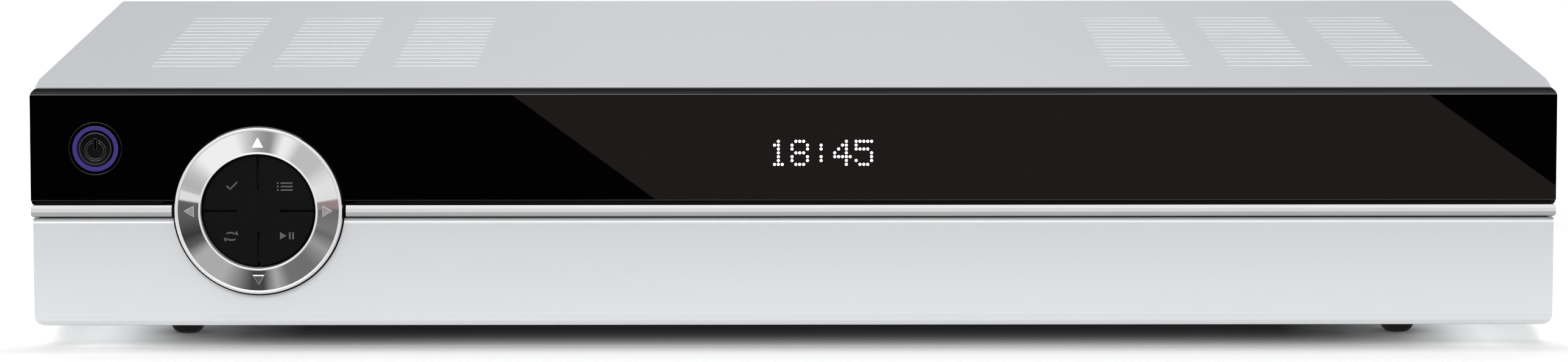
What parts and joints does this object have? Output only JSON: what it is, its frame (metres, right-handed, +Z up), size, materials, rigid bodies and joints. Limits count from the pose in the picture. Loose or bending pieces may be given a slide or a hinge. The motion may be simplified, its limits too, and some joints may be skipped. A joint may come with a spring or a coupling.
{
  "type": "satellite tv receiver",
  "caption": "Flat set-top satellite television receiver with a drop-down flap, a gloss black display window, a sprung navigation ring and a vented sheet cover.",
  "frame": {"origin": "centre of the bounding box at the level of the four feet's treads", "axes": "+X to the right seen from the front, +Y from the front panel to the rear panel, +Z up"},
  "size_m": [0.3734, 0.257, 0.0639],
  "materials": {
    "silver_paint": "satin silver paint",
    "silver_plastic": "satin silver lacquer",
    "black_gloss": "polished",
    "black_plastic": "fine grain",
    "key_black": "soft matt",
    "chrome": "mirror",
    "zinc_steel": "zinc plated",
    "violet_light": "clear light guide",
    "rubber": "matt",
    "green_board": "solder mask",
    "dark_glass": "display glass",
    "aluminium": "plain",
    "yellow_tape": "winding tape",
    "blue_sleeve": "shrink sleeve",
    "grey_cable": "cable jacket"
  },
  "bodies": {
    "root": {"base_tray": "zinc_steel", "rear_panel": "zinc_steel", "top_cover": "silver_paint", "front_fascia": "black_plastic", "display_window": "black_gloss", "trim_strip_left": "chrome", "trim_strip_right": "chrome", "serial_port": "zinc_steel", "scart_lower": "black_plastic", "scart_upper": "black_plastic", "phono_sockets": "black_plastic", "digital_audio_sockets": "black_plastic", "hdmi_socket": "zinc_steel", "lan_socket": "zinc_steel", "usb_socket_rear": "zinc_steel", "tuner_a": "zinc_steel", "tuner_b": "zinc_steel", "mains_inlet": "black_plastic", "mains_switch_frame": "black_plastic", "foot_front_left": "rubber", "foot_front_right": "rubber", "foot_rear_left": "rubber", "foot_rear_right": "rubber", "cover_screw_left_front": "zinc_steel", "cover_screw_left_rear": "zinc_steel", "cover_screw_right_front": "zinc_steel", "cover_screw_right_rear": "zinc_steel", "cover_screw_back_left": "zinc_steel", "cover_screw_back_right": "zinc_steel", "dial_drum": "black_plastic", "pad_hub": "key_black", "power_surround": "black_gloss", "power_light_ring": "violet_light", "front_board": "green_board", "display_module": "dark_glass", "main_board": "green_board", "main_heatsink": "aluminium", "card_cage": "zinc_steel", "smartcard_reader": "black_plastic", "usb_socket_front": "zinc_steel", "hard_drive": "aluminium", "drive_bracket": "zinc_steel", "psu_board": "green_board", "psu_transformer": "yellow_tape", "psu_capacitor": "blue_sleeve", "psu_heatsink": "aluminium", "front_ribbon": "grey_cable", "drive_cable": "grey_cable", "psu_harness": "grey_cable"},
    "flap": {"front_flap": "silver_plastic"},
    "nav_rocker": {"nav_rocker_frame": "black_plastic"},
    "nav_control": {"nav_ring": "chrome"},
    "petal_upper_left": {"key_upper_left": "key_black"},
    "petal_upper_right": {"key_upper_right": "key_black"},
    "petal_lower_left": {"key_lower_left": "key_black"},
    "petal_lower_right": {"key_lower_right": "key_black"},
    "power_key": {"power_button": "key_black"},
    "mains_switch": {"mains_rocker": "black_plastic"}
  },
  "joints": [
    {"name": "flap_hinge", "type": "hinge", "parent": "root", "child": "flap", "pos_m": [0, -0.1225, 0.009], "axis": [1, 0, 0], "range_deg": [0, 90]},
    {"name": "nav_tip_up_down", "type": "hinge", "parent": "root", "child": "nav_rocker", "pos_m": [-0.1298, -0.12, 0.0343], "axis": [1, 0, 0], "range_deg": [-1.8, 1.8], "stiffness_Nm_per_rad": 1.2},
    {"name": "nav_tip_left_right", "type": "hinge", "parent": "nav_rocker", "child": "nav_control", "pos_m": [-0.1298, -0.12, 0.0343], "axis": [0, 0, 1], "range_deg": [-1.8, 1.8], "stiffness_Nm_per_rad": 1.2},
    {"name": "press_upper_left", "type": "hinge", "parent": "root", "child": "petal_upper_left", "pos_m": [-0.13376, -0.1257, 0.03826], "axis": [-0.7071, 0, -0.7071], "range_deg": [0, 3], "stiffness_Nm_per_rad": 0.35},
    {"name": "press_upper_right", "type": "hinge", "parent": "root", "child": "petal_upper_right", "pos_m": [-0.12584, -0.1257, 0.03826], "axis": [-0.7071, 0, 0.7071], "range_deg": [0, 3], "stiffness_Nm_per_rad": 0.35},
    {"name": "press_lower_left", "type": "hinge", "parent": "root", "child": "petal_lower_left", "pos_m": [-0.13376, -0.1257, 0.03034], "axis": [0.7071, 0, -0.7071], "range_deg": [0, 3], "stiffness_Nm_per_rad": 0.35},
    {"name": "press_lower_right", "type": "hinge", "parent": "root", "child": "petal_lower_right", "pos_m": [-0.12584, -0.1257, 0.03034], "axis": [0.7071, 0, 0.7071], "range_deg": [0, 3], "stiffness_Nm_per_rad": 0.35},
    {"name": "power_press", "type": "slide", "parent": "root", "child": "power_key", "axis": [0, 1, 0], "range_m": [0, 0.0005], "stiffness_N_per_m": 4000},
    {"name": "mains_rocker_tip", "type": "hinge", "parent": "root", "child": "mains_switch", "pos_m": [-0.11655, 0.116, 0.035], "axis": [1, 0, 0], "range_deg": [0, 16]}
  ]
}
